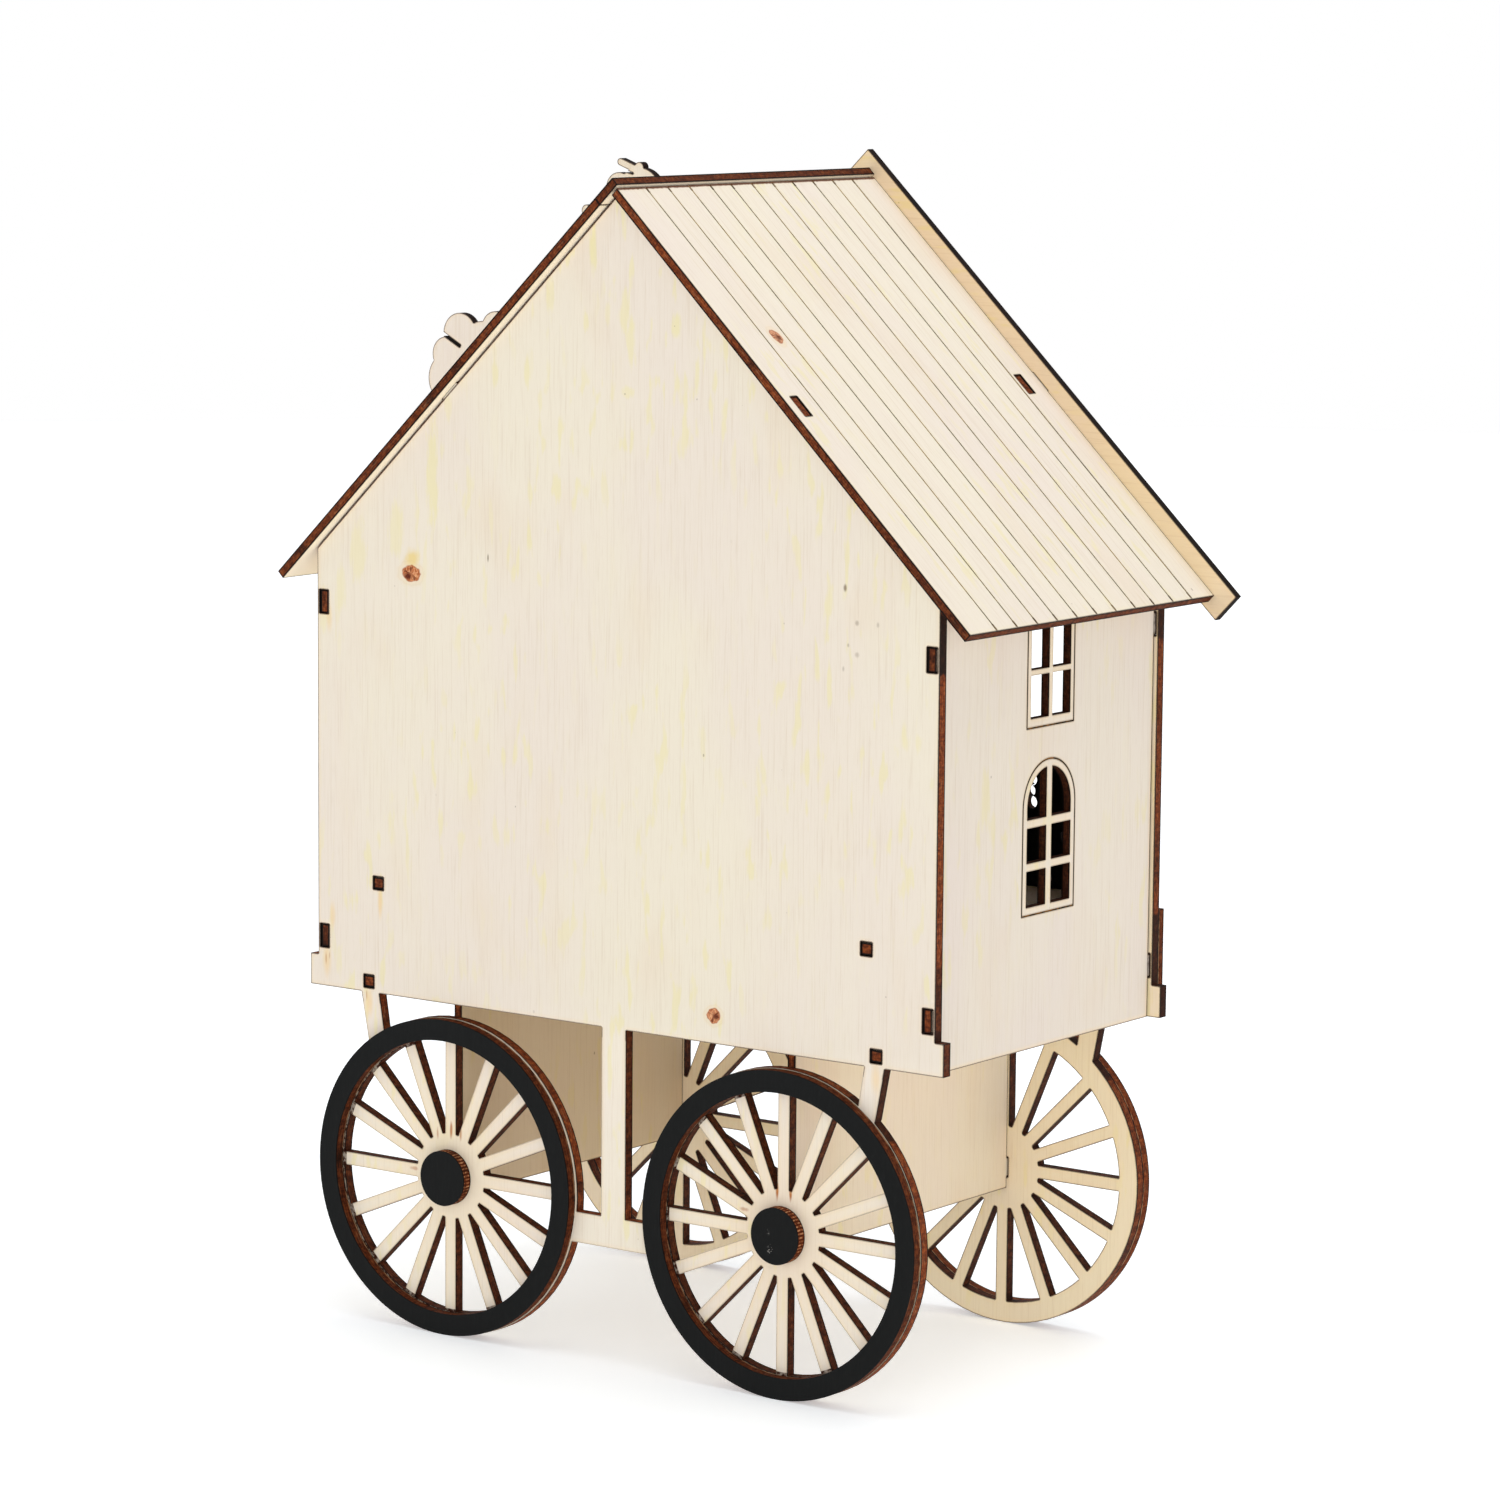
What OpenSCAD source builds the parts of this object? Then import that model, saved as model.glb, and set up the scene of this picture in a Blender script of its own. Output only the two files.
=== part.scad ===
// Laser-cut plywood house standing on four spoked wagon wheels.
// Millimetres. +Z is up, the decorated gable faces -Y and the plain gable faces +Y.
// The origin is on the ground, midway between the four wheels.
// "left" and "right" are as seen by someone facing the decorated gable:
// right is +X, left is -X.

/* [Sheets] */
// Thickness of the gable plates, floors, rims and hub caps
plate_t = 3.0; // [2.8:0.1:3.2]
// Thickness of the thinner sheet: walls, roof, axle boards and trims
panel_t = 2.4; // [2.2:0.1:2.6]
// Clearance left between parts that slide together
gap = 0.1; // [0.05:0.05:0.15]

/* [House] */
// Width of the gable plates
body_w = 200; // [196:1:204]
// Depth over the outer faces of both gable plates
body_d = 103.6; // [100:0.2:108]
// Height of the plates' lower edge above the ground
body_z = 88.7; // [87:0.1:91]
// Height of the gable apex above the ground
apex_z = 303.2; // [300:0.2:306]
// Roof slope in degrees
slope = 43.9; // [42:0.1:46]
// How far the side walls sit in from the plates' edges
wall_inset = 1.1; // [0.8:0.1:1.4]
// Gap between the side walls and the decorated gable
wall_gap = 0.3; // [0.1:0.05:0.4]
// Width of the small ears at the plates' lower corners
ear_w = 2.7; // [1:0.1:4]
// Height of those ears
ear_h = 8.4; // [5:0.1:10]

/* [Floors] */
// Height of the middle of the lower floor
floor1_z = 91.6; // [91.4:0.1:91.8]
// Height of the middle of the room floor
floor2_z = 118.4; // [117:0.1:120]
// Distance of the lower floor's end tabs from the centre
floor1_tab_x = 82.4; // [80:0.1:84]
// Distance of the room floor's end tabs from the centre
floor2_tab_x = 79.1; // [76:0.1:84]

/* [Wheels] */
// Distance of a wheel's centre from the middle of the plate
wheel_x = 54.3; // [52:0.1:55]
// Outer radius of the wheel cut into the plate
wheel_r = 42.5; // [42:0.1:43]
// Inner radius of the wheel's ring
wheel_in = 36.8; // [35:0.1:38]
// Number of spokes
spokes = 16; // [8:2:20]
// Width of a spoke
spoke_w = 3.5; // [2.5:0.1:4]
// Radius of the solid centre where the spokes meet
hub_r = 11.4; // [10:0.1:13]
// Outer radius of the separate black rim
rim_r = 42.4; // [40:0.1:42.5]
// Inner radius of the black rim
rim_in = 36.8; // [35:0.1:38]
// Radius of the black hub cap
cap_r = 7.35; // [6:0.05:9]
// How far the rear right rim is glued off its wheel's centre
rim_off = 0.5; // [0:0.1:0.6]
// How far the rear hub caps are glued off their hubs' centres, in X and Z
cap_off = [0.5, -0.3];
// Width of the post between the wheels
post_w = 7.8; // [5:0.1:10]
// Lower and upper edge of the rail between the wheels
rail_z = [30.7, 38.8];

/* [Roof] */
// Overhang of the roof past the plain gable
over_rear = 3.2; // [2:0.1:5]
// Overhang of the roof past the decorated gable
over_front = 6.2; // [5:0.1:8]
// Length of the roof's underside along the slope, from the apex to the eave
roof_len = 151.8; // [148:0.2:156]
// Gap between the roof's underside and the plates' sloping edges
roof_gap = 0.3; // [0.1:0.05:0.4]
// How far the ridge strip reaches past the apex
strip_over = 3.2; // [3:0.1:4]
// How far the ridge strip reaches down its own slope
strip_down = 4.3; // [4:0.1:6]
// Distance from the plain gable's face to the first plank line
plank_first = 8.65; // [6:0.05:10]
// Distance between plank lines
plank_pitch = 9.04; // [8:0.02:9.2]
// Number of plank lines
plank_lines = 11; // [8:1:11]
// Width of an engraved line
line_w = 0.4; // [0.3:0.05:0.5]
// Depth of an engraved line
line_d = 0.35; // [0.2:0.05:0.5]

/* [Barge board] */
// Width of the board along the front of the roof
board_w = 9.0; // [8:0.1:10]
// Height of the board's outer edge above the roof's underside, at the ridge
board_out = 6.4; // [5:0.1:7]
// The same height at the eave
board_out_end = 7.2; // [5:0.1:8]
// How far the board runs past the eave
board_ext = 4.8; // [3:0.1:6]

/* [Side windows] */
// Half width of the upper window's scored outline
up_w = 10.75; // [10:0.05:12]
// Lower and upper edge of the upper window's outline
up_z = [171, 199];
// Half width of the arched window's scored outline, and its arch radius
arch_w = 11.95; // [11:0.05:13]
// Sill and springing height of the arched window's outline
arch_z = [123.2, 150.5];

/* [Hidden] */
$fn = 72;

wood = [0.93, 0.88, 0.80];
wood2 = [0.90, 0.84, 0.74];
black = [0.12, 0.125, 0.125];

hw = body_w / 2;                    // half width of a plate
hd = body_d / 2;                    // half depth of the body
wall_o = hw - wall_inset;           // outer face of a side wall
wall_i = wall_o - panel_t;          // inner face of a side wall
eave_z = apex_z - hw * tan(slope);  // plate's eave corner
drop = roof_gap / cos(slope);       // the plates' edges lie this far down
in_y = hd - plate_t;                // inner face of a plate
tab_l = 5.8;                        // length of a wall tab
tab_zc = [102.3, 192.3];            // heights of the wall tabs
roof_tab = [72.8, 79.2];            // a plate's roof tab, along the slope
hub_tab = 5.0;                      // height of an axle board's end tab
slack = 0.35;                       // slots in the plates are this much larger than tabs all round
hub_slack = 1.0;                    // slots in the hubs are this much wider than the axle boards
roof_slack = 0.2;                   // and slots in the roof and barge board are this much longer at each end

// ---- helpers ---------------------------------------------------------

// Extrudes an XZ outline so that it fills y0 to y1
module sheet_xz(y0, y1) {
  translate([0, y1, 0]) rotate([90, 0, 0]) linear_extrude(y1 - y0) children();
}

// Places children in the frame of one roof slope: +X runs down the slope
// from the apex and +Z is the outward normal. side is 1 for +X, -1 for -X.
module on_slope(side) {
  mirror([side < 0 ? 1 : 0, 0, 0])
    translate([0, 0, apex_z]) rotate([0, slope, 0]) children();
}

// Box between two corners
module box(a, b) { translate(a) cube([b[0] - a[0], b[1] - a[1], b[2] - a[2]]); }

// Rectangle between two corners
module rect(a, b) { translate(a) square([b[0] - a[0], b[1] - a[1]]); }

// ---- gable plates ----------------------------------------------------

// One spoked wheel, flat
module wheel_2d() {
  difference() { circle(r = wheel_r, $fn = 180); circle(r = wheel_in, $fn = 180); }
  difference() {
    union() {
      circle(r = hub_r);
      for (i = [0 : spokes - 1]) rotate(i * 360 / spokes)
        translate([0, -spoke_w / 2]) square([wheel_in + 1, spoke_w]);
    }
    // slot for the axle board's end tab
    square([panel_t + hub_slack, hub_tab + 0.6 * hub_slack], center = true);
  }
}

// House outline with ears, struts, wheels, post and rail
module plate_2d() {
  difference() {
    union() {
      polygon([[-hw, body_z], [hw, body_z], [hw, eave_z - drop], [0, apex_z - drop], [-hw, eave_z - drop]]);
      for (s = [-1, 1]) scale([s, 1]) {
        // ear
        translate([hw - 1, body_z]) square([ear_w + 1, ear_h]);
        // strut from the house down to the wheel's ring
        polygon([[78.9, body_z + 1], [85, body_z + 1], [85, body_z], [82.3, 75], [80, 72], [75.4, 74.8], [77.2, 78.4], [78.9, body_z]]);
      }
    }
    for (s = [-1, 1]) scale([s, 1]) {
      // wall tab slots
      for (z = tab_zc) rect([wall_i - slack, z - tab_l / 2 - slack], [wall_o + slack + 0.2, z + tab_l / 2 + slack]);
      // floor tab slots
      translate([floor1_tab_x, floor1_z]) square(plate_t + 2 * slack, center = true);
      translate([floor2_tab_x, floor2_z]) square(plate_t + 2 * slack, center = true);
    }
  }
  for (s = [-1, 1]) translate([s * wheel_x, wheel_r]) wheel_2d();
  // post and rail
  rect([-post_w / 2, rail_z[0]], [post_w / 2, body_z + 0.5]);
  rx = wheel_x - sqrt(pow(wheel_r - 2, 2) - pow(wheel_r - rail_z[0], 2));
  rect([-rx, rail_z[0]], [rx, rail_z[1]]);
}

// The tabs that stand up through the roof, one on each slope
module plate_roof_tabs(y0, y1) {
  for (s = [-1, 1]) on_slope(s) box([roof_tab[0], y0, -2], [roof_tab[1], y1, panel_t - 0.2]);
}

module rear_plate() color(wood) {
  union() {
    sheet_xz(in_y, hd) plate_2d();
    plate_roof_tabs(in_y, hd);
  }
}

// ---- decorated gable -------------------------------------------------

win_x = 65.75;          // centre of the front windows
win_w = 19.5;           // opening of the upper front windows
win_z = [160, 193];
shop_r = 13;            // arched openings of the lower storey
shop_z = [121, 141];
gable_win_z = 238;
gable_win_r = 15;

module front_openings() {
  for (s = [-1, 1]) {
    rect([s * win_x - win_w / 2, win_z[0]], [s * win_x + win_w / 2, win_z[1]]);
    translate([s * win_x, 0]) {
      rect([-shop_r, shop_z[0]], [shop_r, shop_z[1]]);
      translate([0, shop_z[1]]) circle(r = shop_r);
    }
  }
  translate([0, gable_win_z]) circle(r = gable_win_r);
}

module front_plate() color(wood) {
  union() {
    sheet_xz(-hd, -in_y) difference() { plate_2d(); front_openings(); }
    plate_roof_tabs(-hd, -in_y);
  }
}

// Upper front window: open border with a sill
module window_frame(s) color(black)
  translate([s * win_x, 0, 0]) sheet_xz(-hd - panel_t, -hd) {
    difference() {
      rect([-win_w / 2 - 3, win_z[0] - 3], [win_w / 2 + 3, win_z[1] + 3]);
      rect([-win_w / 2, win_z[0]], [win_w / 2, win_z[1]]);
    }
    // sill
    rect([-win_w / 2 - 5, win_z[0] - 5.5], [win_w / 2 + 5, win_z[0] - 2.5]);
  }

// Round window in the gable: ring with eight bars
module gable_window_frame() color(black)
  translate([0, 0, gable_win_z]) sheet_xz(-hd - panel_t, -hd) {
    difference() { circle(r = gable_win_r + 3.5); circle(r = gable_win_r - 0.5); }
    difference() { circle(r = 5); circle(r = 3); }
    for (i = [0 : 7]) rotate(i * 45) translate([3.9, -0.9]) square([gable_win_r - 3, 1.8]);
  }

door_w = 15;            // half width of the door leaf
door_z = [119.5, 156];  // threshold and springing height

module door_outline(extra) {
  rect([-door_w - extra, door_z[0]], [door_w + extra, door_z[1]]);
  translate([0, door_z[1]]) circle(r = door_w + extra);
}

// Arched border round the door
module door_frame() color(black)
  sheet_xz(-hd - panel_t, -hd)
    difference() { door_outline(3.5); door_outline(0.1); }

// Fixed double door with scored planks
module front_door() color(wood2)
  difference() {
    sheet_xz(-hd - panel_t, -hd) door_outline(-0.1);
    for (x = [-10, -5, 0, 5, 10])
      box([x - (x == 0 ? 0.4 : line_w / 2), -hd - panel_t - 1, door_z[0] - 1],
          [x + (x == 0 ? 0.4 : line_w / 2), -hd - panel_t + (x == 0 ? 2 : 1) * line_d, door_z[1] + 20]);
    for (z = [128, 150])
      box([-door_w + 1.5, -hd - panel_t - 1, z - 0.2], [door_w - 1.5, -hd - panel_t + line_d, z + 0.2]);
  }

// Black cut-out screen behind a lower front opening: shrubs with gaps
module scene_screen(s) color(black)
  translate([s * win_x, 0, 0]) sheet_xz(-in_y, -in_y + panel_t)
    difference() {
      union() {
        rect([-16, floor2_z + plate_t / 2 + gap], [16, 139]);
        translate([0, 139]) circle(r = 16);
      }
      // gaps between the shrubs, mirrored with the side of the house
      scale([s, 1]) {
        for (c = [[-2.5, 148.4, 1.6], [-2.9, 145.4, 1.5], [-2.5, 142.4, 1.7]]) translate([c[0], c[1]]) circle(r = c[2]);
        translate([3.4, 122.9]) rotate(20) scale([1, 1.5]) circle(r = 0.8);
        translate([8.2, 133]) rotate(25) scale([1, 2.4]) circle(r = 1.1);
        translate([-9.4, 131]) rotate(-20) scale([1, 2.6]) circle(r = 1.2);
        translate([1.5, 149]) rotate(12) scale([1, 2.2]) circle(r = 0.9);
        translate([8.6, 146]) rotate(-30) scale([1, 2.0]) circle(r = 1.0);
        translate([-10.4, 143]) rotate(35) scale([1, 1.8]) circle(r = 0.9);
      }
    }

// Board across the foot of the decorated gable
module base_trim() color(black)
  sheet_xz(-hd - panel_t, -hd) difference() {
    rect([-hw, body_z], [hw, 116.8]);
    // row of small lozenges
    for (i = [-7 : 7]) translate([i * 12, 103]) rotate(45) square(3.2, center = true);
  }

// ---- side walls ------------------------------------------------------

// Everything cut through a wall, in Y and Z
module wall_panes() {
  for (s = [-1, 1]) scale([s, 1]) {
    // upper window, two rows of panes
    rect([0.8, up_z[0] + 2.3], [9.1, up_z[0] + 13.3]);
    rect([0.8, up_z[0] + 14.7], [9.1, up_z[1] - 2.3]);
    // arched window, two square panes and one under the arch
    rect([1.2, arch_z[0] + 2.0], [10.05, arch_z[0] + 11.3]);
    rect([1.2, arch_z[0] + 13.3], [10.05, arch_z[0] + 22.3]);
    intersection() {
      union() {
        rect([0, arch_z[0] + 24.4], [10.05, arch_z[1]]);
        translate([0, arch_z[1]]) circle(r = 10.05);
      }
      rect([1.2, arch_z[0] + 24.4], [11, arch_z[1] + 11]);
    }
  }
}

// Outline of a window, grown by e
module up_outline(e) { rect([-up_w - e, up_z[0] - e], [up_w + e, up_z[1] + e]); }
module arch_outline(e) {
  rect([-arch_w - e, arch_z[0] - e], [arch_w + e, arch_z[1]]);
  translate([0, arch_z[1]]) circle(r = arch_w + e);
}

// Side wall standing at +X; s = -1 mirrors it to the other side
module side_wall(s) color(wood)
  mirror([s < 0 ? 1 : 0, 0, 0]) difference() {
    translate([wall_i, 0, 0]) rotate([90, 0, 90]) linear_extrude(panel_t) difference() {
      union() {
        rect([-in_y + wall_gap, body_z], [in_y - gap, apex_z - wall_o * tan(slope) - drop]);
        for (z = tab_zc) rect([-hd + 0.2, z - tab_l / 2], [hd - 0.2, z + tab_l / 2]);
      }
      wall_panes();
    }
    // scored window outlines in the outer face
    translate([wall_o - line_d, 0, 0]) rotate([90, 0, 90]) linear_extrude(line_d + 1) {
      difference() { up_outline(line_w / 2); up_outline(-line_w / 2); }
      difference() { arch_outline(line_w / 2); arch_outline(-line_w / 2); }
    }
  }

// ---- floors and axle boards -------------------------------------------

board_tab = [25, 12];   // distance from the middle and length of a board's top tabs

module floor_panel(zc, tab_x, slots) color(wood2)
  difference() {
    union() {
      box([-wall_i + gap, -in_y + gap, zc - plate_t / 2], [wall_i - gap, in_y - gap, zc + plate_t / 2]);
      for (s = [-1, 1]) box([s * tab_x - plate_t / 2, -hd + 0.2, zc - plate_t / 2], [s * tab_x + plate_t / 2, hd - 0.2, zc + plate_t / 2]);
    }
    if (slots) for (s = [-1, 1], t = [-1, 1])
      translate([s * wheel_x, t * board_tab[0], zc]) cube([panel_t + 2 * gap, board_tab[1] + 2 * gap, plate_t + 2], center = true);
  }

// Upright board under the floor that joins the two wheels of one side
module axle_board(s) color(wood2)
  translate([s * wheel_x, 0, 0]) {
    box([-panel_t / 2, -in_y + gap, 36.9], [panel_t / 2, in_y - gap, floor1_z - plate_t / 2]);
    // tabs into the hubs
    box([-panel_t / 2, -hd + 0.1, wheel_r - hub_tab / 2], [panel_t / 2, hd - 0.1, wheel_r + hub_tab / 2]);
    // tabs into the lower floor
    for (t = [-1, 1]) box([-panel_t / 2, t * board_tab[0] - board_tab[1] / 2, 80], [panel_t / 2, t * board_tab[0] + board_tab[1] / 2, floor1_z + plate_t / 2]);
  }

// ---- wheels ----------------------------------------------------------

// Black rim on the outer face of a wheel. sx and sy are its side and end.
module rim(sx, sy, off = 0) color(black)
  translate([sx * wheel_x + off, 0, rim_r]) sheet_xz(sy > 0 ? hd : -hd - plate_t, sy > 0 ? hd + plate_t : -hd)
    difference() { circle(r = rim_r, $fn = 180); circle(r = rim_in, $fn = 180); }

module hub_cap(sx, sy, off = [0, 0]) color(black)
  translate([sx * wheel_x + off[0], 0, wheel_r + off[1]]) sheet_xz(sy > 0 ? hd : -hd - plate_t, sy > 0 ? hd + plate_t : -hd)
    circle(r = cap_r);

// ---- roof ------------------------------------------------------------

roof_y = [-hd - over_front, hd + over_rear];
lift = gap;             // the roof lies this far above the plates' edges
front_tab = [72.6, 79.0];   // roof tab into the barge board, along the slope

module roof_panel(side, top) color(wood) on_slope(side) difference() {
  union() {
    box([top, roof_y[0], lift], [roof_len, roof_y[1], lift + panel_t]);
    box([front_tab[0], roof_y[0] - panel_t + gap, lift], [front_tab[1], roof_y[0] + 1, lift + panel_t]);
  }
  // slots for the plates' tabs
  for (y = [[in_y, hd], [-hd, -in_y]])
    box([roof_tab[0] - roof_slack, y[0] - gap, -1], [roof_tab[1] + roof_slack, y[1] + gap, 5]);
  // engraved plank lines
  for (i = [0 : plank_lines - 1])
    translate([top - 1, hd - plank_first - i * plank_pitch - line_w / 2, lift + panel_t - line_d])
      cube([roof_len, line_w, 2]);
}

// Narrow strip that closes the ridge, lying on the +X slope
module ridge_strip() color(wood) on_slope(1)
  box([-strip_over, roof_y[0], lift], [strip_down, roof_y[1], lift + panel_t]);

// Chevron along the front edges of both slopes
module barge_board() color(black) {
  oz = apex_z + board_out / cos(slope);
  iz = apex_z + (board_out - board_w) / cos(slope);
  L = roof_len + board_ext;
  // end corners of the slope at the board's outer and inner edge
  o = [L * cos(slope) + board_out_end * sin(slope), apex_z - L * sin(slope) + board_out_end * cos(slope)];
  n = o - board_w * [sin(slope), cos(slope)];
  difference() {
    sheet_xz(roof_y[0] - panel_t, roof_y[0])
      polygon([[0, oz], [o[0], o[1]], [n[0], n[1]], [0, iz], [-n[0], n[1]], [-o[0], o[1]]]);
    for (s = [-1, 1]) on_slope(s)
      box([front_tab[0] - roof_slack, roof_y[0] - panel_t - 1, lift - gap], [front_tab[1] + roof_slack, roof_y[0] + 1, lift + panel_t + gap]);
  }
}

// ---- tree beside the decorated gable ----------------------------------

// Leaf clumps of the crown: centre x, centre z, radius
clumps = [
  [120, 236, 18], [134, 240, 12], [106, 256, 17], [96, 272, 14], [86, 284, 11], [146, 232, 8.5],
  [128, 249, 9], [109, 266, 8], [121, 262.8, 4.4], [113.6, 270, 4.6], [105.6, 278, 4.2], [99.6, 284.2, 3.6],
  [97.4, 292.5, 1.7], [95, 288, 4.0], [92.4, 258, 11], [104, 240, 11], [143, 226, 7], [112, 222, 9], [127, 221, 8],
  [74, 288, 9], [80, 276, 10], [70.4, 295.6, 4.6], [151, 222, 4.4], [154.4, 229.6, 4.6]];
// Leaves at the end of the outer bough: centre x, centre z, radius
bough = [[147, 243, 7.5], [140, 248, 9], [148, 250, 5], [143, 256, 6], [135, 254, 6], [130, 258, 5]];
// Leaves at the top
tip = [[79, 297, 8], [86, 299, 4.5], [73, 298, 4.5], [79, 305, 1.5]];

// One round-ended leaf: length, half width
module leaf(l, w) {
  translate([0, -w]) square([l, 2 * w]);
  translate([l, 0]) circle(r = w, $fn = 24);
}

module yard_tree() color(black)
  sheet_xz(roof_y[0] - 2 * panel_t, roof_y[0] - panel_t) {
    difference() {
      union() {
        for (c = clumps) translate([c[0], c[1]]) circle(r = c[2], $fn = 40);
        for (c = bough) translate([c[0], c[1]]) circle(r = c[2], $fn = 40);
        for (c = tip) translate([c[0], c[1]]) circle(r = c[2], $fn = 40);
        translate([79, 304]) rotate(20) leaf(7, 1);
        // trunk with a spread foot and two boughs
        polygon([[83, 97], [104, 97], [99.5, 104], [99.5, 140], [105, 178], [115, 204], [127, 226], [119, 230], [109, 213], [112, 240], [104, 240], [100, 208], [94, 164], [91.5, 120], [90.5, 105]]);
      }
      // slit between the top leaves, split between the outer leaves
      translate([81, 303]) rotate(12) square([3, 0.5]);
      translate([143, 252]) rotate(28) square([9, 1]);
      // gaps between the leaves
      for (h = [[118, 244, 20], [133, 232, -30], [100, 262, 35], [124, 254, 0], [86, 278, 60], [110, 250, -10], [138, 246, 10], [93, 270, 15]])
        translate([h[0], h[1]]) rotate(h[2]) scale([1, 2.2]) circle(r = 1.6, $fn = 24);
    }
  }

// Block that carries the trunk's foot in front of the base trim
module tree_spacer() color(wood2)
  box([87, roof_y[0] - panel_t, 100], [99, -hd - panel_t, 112]);

// ---- assembly --------------------------------------------------------

rear_plate();
front_plate();
side_wall(-1);  // left_wall
side_wall(1);  // right_wall
floor_panel(floor1_z, floor1_tab_x, true);  // base_floor
floor_panel(floor2_z, floor2_tab_x, false);  // room_floor
axle_board(-1);  // left_axle_board
axle_board(1);  // right_axle_board
roof_panel(-1, 0.6);  // roof_left
roof_panel(1, strip_down + 0.1);  // roof_right
ridge_strip();
barge_board();
base_trim();
rim(-1, 1, 0.1);  // rim_rear_left
rim(1, 1, rim_off);  // rim_rear_right
rim(-1, -1);  // rim_front_left
rim(1, -1);  // rim_front_right
hub_cap(-1, 1, cap_off);  // hub_cap_rear_left
hub_cap(1, 1, cap_off);  // hub_cap_rear_right
hub_cap(-1, -1);  // hub_cap_front_left
hub_cap(1, -1);  // hub_cap_front_right
window_frame(-1);  // window_frame_left
window_frame(1);  // window_frame_right
gable_window_frame();
door_frame();
front_door();
scene_screen(-1);  // scene_screen_left
scene_screen(1);  // scene_screen_right
yard_tree();
tree_spacer();
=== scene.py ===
import math

import bpy
from mathutils import Matrix, Vector

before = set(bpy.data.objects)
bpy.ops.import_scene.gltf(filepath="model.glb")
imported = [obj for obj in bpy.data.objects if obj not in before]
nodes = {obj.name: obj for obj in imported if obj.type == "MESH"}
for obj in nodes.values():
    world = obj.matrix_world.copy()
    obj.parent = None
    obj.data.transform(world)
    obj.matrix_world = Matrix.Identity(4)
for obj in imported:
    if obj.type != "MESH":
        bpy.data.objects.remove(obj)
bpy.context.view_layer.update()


scene = bpy.context.scene

# ----------------------------------------------------------------------------
# Camera: at the photograph's viewing angle, looking at the plain gable and the left end
# ----------------------------------------------------------------------------
yaw, pitch, roll = (math.radians(a) for a in (36.05, -7.91, 0.491))
fwd = Vector((math.sin(yaw) * math.cos(pitch), -math.cos(yaw) * math.cos(pitch), math.sin(pitch)))
right = Vector((-math.cos(yaw), -math.sin(yaw), 0.0))
up = right.cross(fwd)
r2 = right * math.cos(roll) + up * math.sin(roll)
u2 = up * math.cos(roll) - right * math.sin(roll)
cam_data = bpy.data.cameras.new("camera")
cam = bpy.data.objects.new("camera", cam_data)
scene.collection.objects.link(cam)
m = Matrix((
    (r2.x, u2.x, -fwd.x, -0.8482),
    (r2.y, u2.y, -fwd.y, 1.1536),
    (r2.z, u2.z, -fwd.z, 0.35807),
    (0, 0, 0, 1)))
cam.matrix_world = m
cam_data.sensor_width = 36.0
cam_data.lens = 5483.4 * 36.0 / 1500.0
cam_data.shift_x = 0.5 - 761.26 / 1500.0
cam_data.shift_y = 737.05 / 1500.0 - 0.5
cam_data.clip_start = 0.05
cam_data.clip_end = 60.0
cam_data.dof.use_dof = False
scene.camera = cam

# ----------------------------------------------------------------------------
# Shader helpers
# ----------------------------------------------------------------------------


def srgb(r, g, b):
    def lin(c):
        c /= 255.0
        return c / 12.92 if c <= 0.04045 else ((c + 0.055) / 1.055) ** 2.4
    return (lin(r), lin(g), lin(b), 1.0)


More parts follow.
